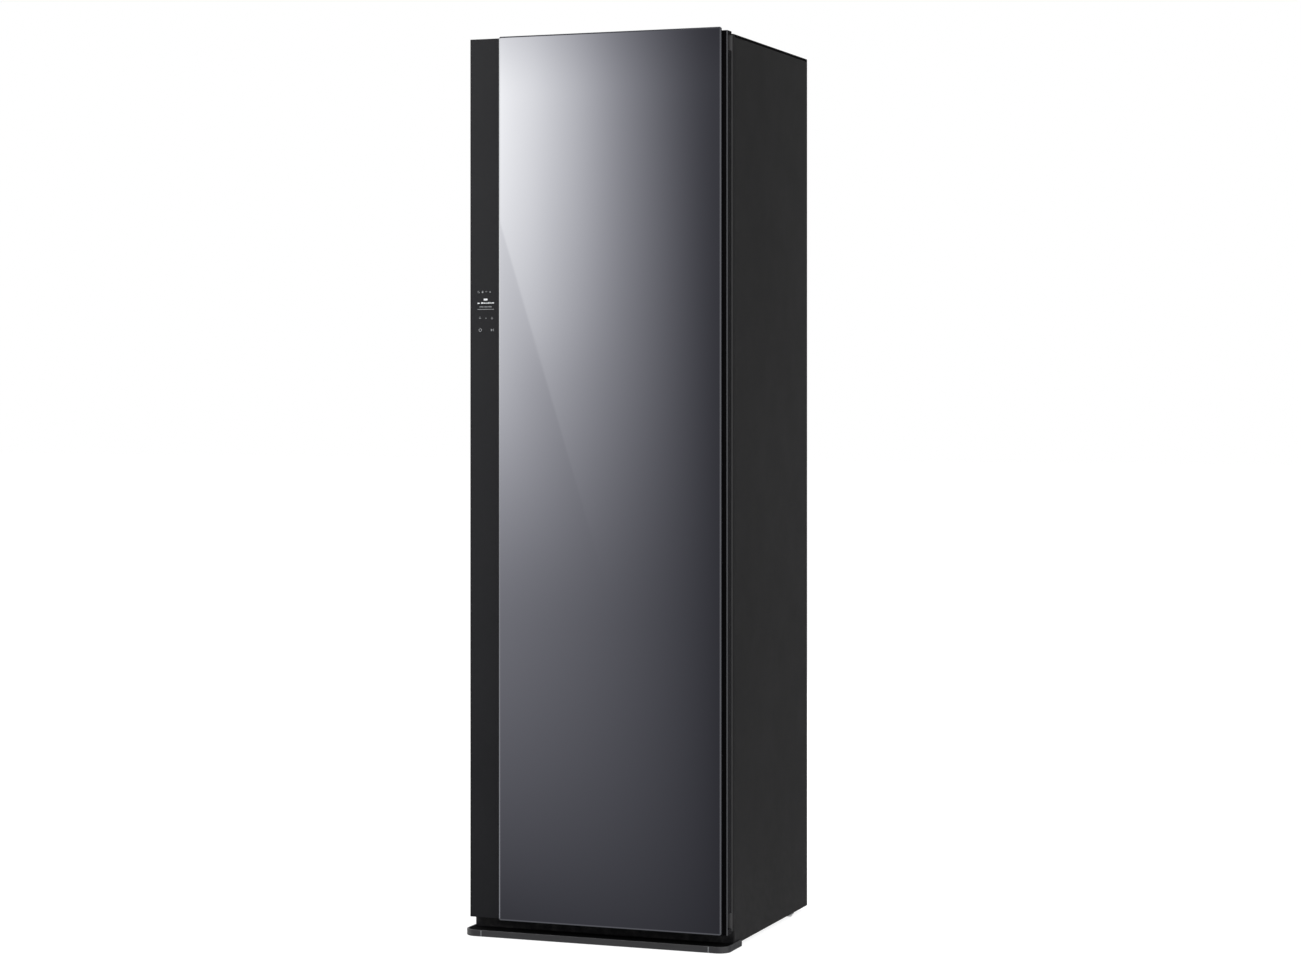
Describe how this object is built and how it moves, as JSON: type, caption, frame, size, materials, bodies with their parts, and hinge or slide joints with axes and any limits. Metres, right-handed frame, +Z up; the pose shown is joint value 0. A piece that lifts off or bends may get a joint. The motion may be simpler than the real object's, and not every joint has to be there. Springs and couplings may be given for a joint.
{
  "type": "clothes care steam cabinet",
  "caption": "Tall steam cabinet for clothes with a hinged mirror-glass door, recessed control strip, hanging chamber, water tanks and a low base bar.",
  "frame": {"origin": "on the floor, under the middle of the bounding box", "axes": "+Z up, the door faces -Y, +X towards the hinge side"},
  "size_m": [0.608, 0.6, 1.96],
  "materials": {
    "mirror": "dark tinted mirror glass with a fine ground bevel",
    "gloss_black": "gloss black moulding",
    "satin_strip": "dark satin panel",
    "cabinet_paint": "charcoal powder coat",
    "kick_paint": "matt black",
    "bar_plastic": "fine-grained charcoal plastic",
    "liner_plastic": "satin grey moulding",
    "dark_plastic": "fine-grained black plastic",
    "gasket_rubber": "soft grey rubber",
    "zinc_steel": "zinc-coated sheet",
    "bare_aluminium": "bare aluminium",
    "tank_plastic": "smoked plastic",
    "light_plastic": "pale grey plastic",
    "compressor_paint": "black enamel"
  },
  "bodies": {
    "cabinet": {"side_panel_left": "cabinet_paint", "side_panel_right": "cabinet_paint", "top_panel": "cabinet_paint", "rear_cover": "zinc_steel", "machine_cover": "zinc_steel", "cord_gland": "dark_plastic", "front_frame": "dark_plastic", "inner_liner": "liner_plastic", "tank_bay": "dark_plastic", "kick_plate": "kick_paint", "base_bar_center": "bar_plastic", "base_bar_left": "bar_plastic", "base_bar_right": "bar_plastic", "base_pan": "zinc_steel", "foot_bracket_left": "zinc_steel", "foot_bracket_right": "zinc_steel", "hinge_bracket_upper": "dark_plastic", "hinge_bracket_lower": "dark_plastic", "hinge_pin_upper": "zinc_steel", "hinge_pin_lower": "zinc_steel", "compressor": "compressor_paint", "evaporator": "bare_aluminium", "condenser": "bare_aluminium", "fan_housing": "dark_plastic", "fan_motor": "zinc_steel", "steam_generator": "light_plastic", "steam_hose": "gasket_rubber", "steam_nozzle": "dark_plastic", "supply_pump": "dark_plastic", "drain_pump": "dark_plastic", "air_outlet_grille": "dark_plastic", "shelf": "liner_plastic", "interior_lamp": "light_plastic", "slide_rail_front": "light_plastic", "slide_rail_rear": "light_plastic", "hanger_motor": "zinc_steel", "control_box": "dark_plastic"},
    "door": {"door_shell": "gloss_black", "mirror_glass": "mirror", "control_strip": "satin_strip", "display_module": "dark_plastic", "door_liner": "liner_plastic", "gasket": "gasket_rubber", "press_base": "light_plastic", "press_hinge_rod": "zinc_steel"},
    "press": {"press_panel": "light_plastic"},
    "supply_drawer": {"supply_tank": "tank_plastic", "supply_tank_lid": "light_plastic"},
    "drain_drawer": {"drain_tank": "tank_plastic", "drain_tank_lid": "light_plastic"},
    "hanger": {"hanger_bar": "bare_aluminium", "hanger_slider": "zinc_steel"},
    "crank": {"crank_disc": "zinc_steel"},
    "fan": {"fan_impeller": "light_plastic"},
    "lint": {"lint_filter": "dark_plastic"},
    "scent": {"scent_cartridge": "light_plastic"},
    "foot_left": {"levelling_foot_left": "dark_plastic"},
    "foot_right": {"levelling_foot_right": "dark_plastic"},
    "roller_left": {"rear_roller_left": "light_plastic"},
    "roller_right": {"rear_roller_right": "light_plastic"}
  },
  "joints": [
    {"name": "door_hinge", "type": "hinge", "parent": "cabinet", "child": "door", "pos_m": [0.286, -0.274, 1], "axis": [0, 0, 1], "range_deg": [0, 110]},
    {"name": "press_hinge", "type": "hinge", "parent": "door", "child": "press", "pos_m": [0.157, -0.221, 1.185], "axis": [0, 0, -1], "range_deg": [0, 95]},
    {"name": "supply_tank_slide", "type": "slide", "parent": "cabinet", "child": "supply_drawer", "axis": [0, -1, 0], "range_m": [0, 0.26]},
    {"name": "drain_tank_slide", "type": "slide", "parent": "cabinet", "child": "drain_drawer", "axis": [0, -1, 0], "range_m": [0, 0.26]},
    {"name": "hanger_shake", "type": "slide", "parent": "cabinet", "child": "hanger", "axis": [1, 0, 0], "range_m": [-0.02, 0.02]},
    {"name": "crank_spin", "type": "hinge", "parent": "cabinet", "child": "crank", "pos_m": [0, 0.06, 1.87], "axis": [0, 0, 1], "continuous": true},
    {"name": "fan_spin", "type": "hinge", "parent": "cabinet", "child": "fan", "pos_m": [0.02, 0.135, 0.34], "axis": [0, 1, 0], "continuous": true},
    {"name": "lint_filter_lift", "type": "slide", "parent": "cabinet", "child": "lint", "axis": [0, 0, 1], "range_m": [0, 0.12]},
    {"name": "scent_cartridge_lift", "type": "slide", "parent": "cabinet", "child": "scent", "axis": [0, 0, 1], "range_m": [0, 0.12]},
    {"name": "foot_left_turn", "type": "hinge", "parent": "cabinet", "child": "foot_left", "pos_m": [-0.238, -0.215, 0.003], "axis": [0, 0, 1], "range_deg": [-360, 360]},
    {"name": "foot_right_turn", "type": "hinge", "parent": "cabinet", "child": "foot_right", "pos_m": [0.238, -0.215, 0.003], "axis": [0, 0, 1], "range_deg": [-360, 360]},
    {"name": "roller_left_spin", "type": "hinge", "parent": "cabinet", "child": "roller_left", "pos_m": [-0.288, 0.178, 0.013], "axis": [1, 0, 0], "continuous": true},
    {"name": "roller_right_spin", "type": "hinge", "parent": "cabinet", "child": "roller_right", "pos_m": [0.288, 0.178, 0.013], "axis": [1, 0, 0], "continuous": true}
  ],
  "couplings": [
    {"joint": "supply_tank_slide", "follows": "door_hinge", "m_per_rad": 0.135},
    {"joint": "drain_tank_slide", "follows": "door_hinge", "m_per_rad": 0.135}
  ]
}
